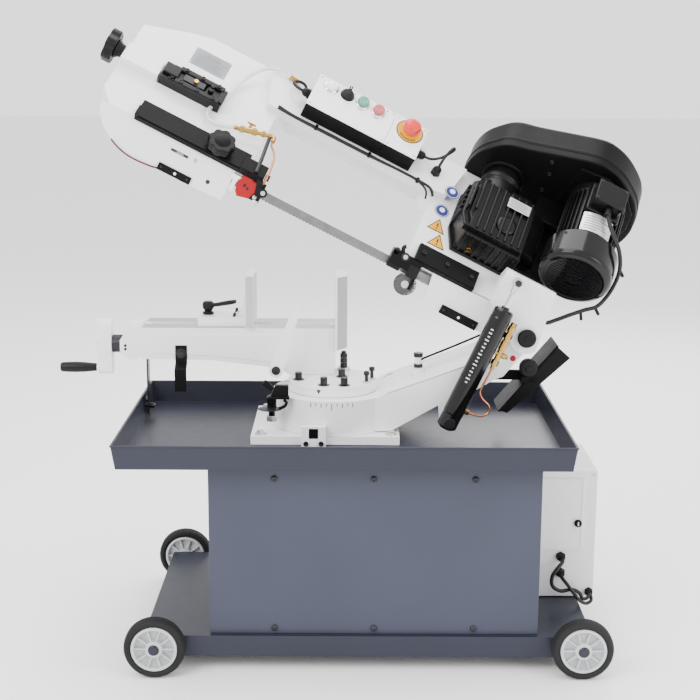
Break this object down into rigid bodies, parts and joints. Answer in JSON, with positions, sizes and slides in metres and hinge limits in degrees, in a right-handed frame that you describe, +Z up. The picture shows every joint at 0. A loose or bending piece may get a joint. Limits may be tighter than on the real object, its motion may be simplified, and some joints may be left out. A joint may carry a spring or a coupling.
{
  "type": "horizontal band saw",
  "caption": "Metal-cutting horizontal band saw with a swivelling inclined bow, vise, chip tray, feed cylinder and a wheeled cabinet.",
  "frame": {"origin": "On the floor, under the middle of the whole machine, with the bow raised as stored.", "axes": "+Z up; +X along the machine from the vise crank to the motor; +Y to the rear, away from the operator."},
  "size_m": [1.3137, 0.6155, 1.3215],
  "materials": {
    "base_frame": "gloss slate paint",
    "cabinet": "gloss slate paint",
    "front_panel": "gloss slate paint",
    "chip_tray": "gloss slate paint",
    "base_casting": "white painted casting",
    "coolant_tank": "light enamel",
    "coolant_pump": "satin black paint",
    "electrical_box": "light enamel",
    "vise_bed": "white painted casting",
    "bed_flange": "white painted casting",
    "fixed_jaw": "white painted casting",
    "bed_leg": "satin black paint",
    "hook_strap": "satin black paint",
    "box_cable": "black rubber",
    "box_door": "light enamel",
    "wheel_front_left": "black tyre on a light hub",
    "wheel_front_right": "black tyre on a light hub",
    "wheel_rear_left": "black tyre on a light hub",
    "wheel_rear_right": "black tyre on a light hub",
    "vise_screw": "satin black paint",
    "crank_arm": "white painted casting",
    "crank_grip": "black plastic",
    "moving_jaw": "white painted casting",
    "jaw_lever": "satin black paint",
    "vise_lever": "gloss white paint",
    "swivel_arm": "white painted casting",
    "raise_stop": "satin black paint",
    "pivot_shaft": "satin black paint",
    "swivel_lock": "satin black paint",
    "feed_cylinder": "satin black paint",
    "feed_valve": "bright",
    "cylinder_rod": "machined",
    "bow_frame": "white painted casting",
    "blade": "machined",
    "blade_cover": "gloss white paint",
    "wheel_cover": "gloss white paint",
    "guide_bracket_right": "satin black paint",
    "gearbox": "satin black paint",
    "motor": "satin black paint",
    "v_belt": "black rubber",
    "belt_guard": "black plastic",
    "control_box": "satin black paint",
    "control_panel": "gloss white paint",
    "estop_panel": "gloss white paint",
    "motor_cable": "black rubber",
    "guide_knob": "black plastic",
    "tension_block": "satin black paint",
    "tension_knob": "black plastic",
    "idler_wheel": "machined",
    "drive_wheel": "machined",
    "guide_bar_left": "satin black paint",
    "red_guard": "gloss red",
    "chip_brush": "machined",
    "worm_shaft": "machined",
    "motor_shaft": "machined",
    "belt_lid": "black plastic",
    "selector": "black plastic",
    "start_button": "green cap",
    "stop_button": "red cap",
    "estop_button": "red mushroom"
  },
  "bodies": {
    "base": {"base_frame": "base_frame", "cabinet": "cabinet", "front_panel": "front_panel", "chip_tray": "chip_tray", "base_casting": "base_casting", "coolant_tank": "coolant_tank", "coolant_pump": "coolant_pump", "electrical_box": "electrical_box", "vise_bed": "vise_bed", "bed_flange": "bed_flange", "fixed_jaw": "fixed_jaw", "bed_leg": "bed_leg", "hook_strap": "hook_strap", "box_cable": "box_cable"},
    "box_door": {"box_door": "box_door"},
    "wheel_front_left": {"wheel_front_left": "wheel_front_left"},
    "wheel_front_right": {"wheel_front_right": "wheel_front_right"},
    "wheel_rear_left": {"wheel_rear_left": "wheel_rear_left"},
    "wheel_rear_right": {"wheel_rear_right": "wheel_rear_right"},
    "crank": {"vise_screw": "vise_screw", "crank_arm": "crank_arm"},
    "crank_grip": {"crank_grip": "crank_grip"},
    "jaw": {"moving_jaw": "moving_jaw"},
    "jaw_lever": {"jaw_lever": "jaw_lever"},
    "vise_lever": {"vise_lever": "vise_lever"},
    "arm": {"swivel_arm": "swivel_arm", "raise_stop": "raise_stop", "pivot_shaft": "pivot_shaft"},
    "swivel_lock": {"swivel_lock": "swivel_lock"},
    "feed_cylinder": {"feed_cylinder": "feed_cylinder", "feed_valve": "feed_valve"},
    "cylinder_rod": {"cylinder_rod": "cylinder_rod"},
    "bow": {"bow_frame": "bow_frame", "blade": "blade", "blade_cover": "blade_cover", "wheel_cover": "wheel_cover", "guide_bracket_right": "guide_bracket_right", "gearbox": "gearbox", "motor": "motor", "v_belt": "v_belt", "belt_guard": "belt_guard", "control_box": "control_box", "control_panel": "control_panel", "estop_panel": "estop_panel", "motor_cable": "motor_cable", "guide_knob": "guide_knob"},
    "tension_block": {"tension_block": "tension_block"},
    "tension_knob": {"tension_knob": "tension_knob"},
    "idler_wheel": {"idler_wheel": "idler_wheel"},
    "drive_wheel": {"drive_wheel": "drive_wheel"},
    "guide_left": {"guide_bar_left": "guide_bar_left", "red_guard": "red_guard"},
    "chip_brush": {"chip_brush": "chip_brush"},
    "worm_shaft": {"worm_shaft": "worm_shaft"},
    "motor_shaft": {"motor_shaft": "motor_shaft"},
    "belt_lid": {"belt_lid": "belt_lid"},
    "selector": {"selector": "selector"},
    "start_button": {"start_button": "start_button"},
    "stop_button": {"stop_button": "stop_button"},
    "estop_button": {"estop_button": "estop_button"}
  },
  "joints": [
    {"name": "box_door_hinge", "type": "hinge", "parent": "base", "child": "box_door", "pos_m": [0.4186, -0.0443, 0.27], "axis": [0, 0, 1], "range_deg": [-95, 0]},
    {"name": "wheel_front_left_spin", "type": "hinge", "parent": "base", "child": "wheel_front_left", "pos_m": [-0.4019, -0.2852, 0.0635], "axis": [0, 1, 0], "continuous": true},
    {"name": "wheel_front_right_spin", "type": "hinge", "parent": "base", "child": "wheel_front_right", "pos_m": [0.4791, -0.2852, 0.0635], "axis": [0, 1, 0], "continuous": true},
    {"name": "wheel_rear_left_spin", "type": "hinge", "parent": "base", "child": "wheel_rear_left", "pos_m": [-0.4019, 0.2593, 0.0635], "axis": [0, 1, 0], "continuous": true},
    {"name": "wheel_rear_right_spin", "type": "hinge", "parent": "base", "child": "wheel_rear_right", "pos_m": [0.4791, 0.2593, 0.0635], "axis": [0, 1, 0], "continuous": true},
    {"name": "crank_turn", "type": "hinge", "parent": "base", "child": "crank", "pos_m": [-0.5529, 0.1038, 0.621], "axis": [1, 0, 0], "range_deg": [-12240, 9000]},
    {"name": "grip_spin", "type": "hinge", "parent": "crank", "child": "crank_grip", "pos_m": [-0.6129, 0.1038, 0.566], "axis": [1, 0, 0], "continuous": true},
    {"name": "jaw_slide", "type": "slide", "parent": "base", "child": "jaw", "axis": [1, 0, 0], "range_m": [-0.1251, 0.1701]},
    {"name": "jaw_lever_turn", "type": "hinge", "parent": "jaw", "child": "jaw_lever", "pos_m": [-0.3209, 0.1038, 0.705], "axis": [0, 0, 1], "range_deg": [-60, 45]},
    {"name": "vise_lever_turn", "type": "hinge", "parent": "base", "child": "vise_lever", "pos_m": [-0.1629, -0.0227, 0.589], "axis": [0, 1, 0], "range_deg": [-50, 12]},
    {"name": "arm_swivel", "type": "hinge", "parent": "base", "child": "arm", "pos_m": [-0.0409, 0.0143, 0.5], "axis": [0, 0, 1], "range_deg": [0, 45]},
    {"name": "swivel_lock_turn", "type": "hinge", "parent": "arm", "child": "swivel_lock", "pos_m": [-0.1689, -0.0877, 0.53], "axis": [0, 0, 1], "range_deg": [-40, 30]},
    {"name": "cylinder_tilt", "type": "hinge", "parent": "arm", "child": "feed_cylinder", "pos_m": [0.2071, -0.1077, 0.499], "axis": [0, 1, 0], "range_deg": [-9, 7]},
    {"name": "rod_slide", "type": "slide", "parent": "feed_cylinder", "child": "cylinder_rod", "axis": [0.4214, 0, 0.9069], "range_m": [-0.04, 0.028]},
    {"name": "bow_pivot", "type": "hinge", "parent": "arm", "child": "bow", "pos_m": [0.3711, 0.0143, 0.673], "axis": [0, 1, 0], "range_deg": [-27, 18]},
    {"name": "tension_turn", "type": "hinge", "parent": "bow", "child": "tension_knob", "pos_m": [-0.51506, 0.08148, 1.27527], "axis": [0.891, 0, -0.454], "range_deg": [0, 2165]},
    {"name": "tension_slide", "type": "slide", "parent": "bow", "child": "tension_block", "axis": [0.891, 0, -0.454], "range_m": [0, 0.009]},
    {"name": "idler_spin", "type": "hinge", "parent": "tension_block", "child": "idler_wheel", "pos_m": [-0.36378, 0.1133, 1.16248], "axis": [0.321, -0.7071, 0.63], "continuous": true},
    {"name": "drive_spin", "type": "hinge", "parent": "bow", "child": "drive_wheel", "pos_m": [0.29646, 0.1133, 0.82607], "axis": [0.321, -0.7071, 0.63], "continuous": true},
    {"name": "worm_spin", "type": "hinge", "parent": "bow", "child": "worm_shaft", "pos_m": [0.34977, 0.20805, 1.01], "axis": [0.321, 0.7071, 0.63], "continuous": true},
    {"name": "motor_spin", "type": "hinge", "parent": "bow", "child": "motor_shaft", "pos_m": [0.5585, 0.14866, 0.97031], "axis": [0.321, 0.7071, 0.63], "continuous": true},
    {"name": "guide_slide", "type": "slide", "parent": "bow", "child": "guide_left", "axis": [0.891, 0, -0.454], "range_m": [0, 0.13]},
    {"name": "brush_spin", "type": "hinge", "parent": "bow", "child": "chip_brush", "pos_m": [0.11429, -0.0057, 0.77692], "axis": [0, 1, 0], "continuous": true},
    {"name": "lid_hinge", "type": "hinge", "parent": "bow", "child": "belt_lid", "pos_m": [0.25973, 0.20268, 1.04033], "axis": [0.321, -0.7071, 0.63], "range_deg": [0, 95]},
    {"name": "selector_turn", "type": "hinge", "parent": "bow", "child": "selector", "pos_m": [-0.01116, 0.14017, 1.17169], "axis": [0.321, -0.7071, 0.63], "range_deg": [-45, 45]},
    {"name": "start_press", "type": "slide", "parent": "bow", "child": "start_button", "axis": [-0.321, 0.7071, -0.63], "range_m": [0, 0.003], "stiffness_N_per_m": 400},
    {"name": "stop_press", "type": "slide", "parent": "bow", "child": "stop_button", "axis": [-0.321, 0.7071, -0.63], "range_m": [0, 0.003], "stiffness_N_per_m": 400},
    {"name": "estop_press", "type": "slide", "parent": "bow", "child": "estop_button", "axis": [-0.321, 0.7071, -0.63], "range_m": [0, 0.006], "stiffness_N_per_m": 500}
  ],
  "couplings": [
    {"joint": "jaw_slide", "follows": "crank_turn", "m_per_rad": -0.00079577},
    {"joint": "cylinder_tilt", "follows": "bow_pivot", "ratio": 0.3},
    {"joint": "rod_slide", "follows": "bow_pivot", "m_per_rad": 0.0765},
    {"joint": "tension_turn", "follows": "tension_slide", "rad_per_m": 4188.8},
    {"joint": "idler_spin", "follows": "drive_spin", "ratio": 1},
    {"joint": "worm_spin", "follows": "drive_spin", "ratio": 30},
    {"joint": "motor_spin", "follows": "drive_spin", "ratio": 60}
  ]
}
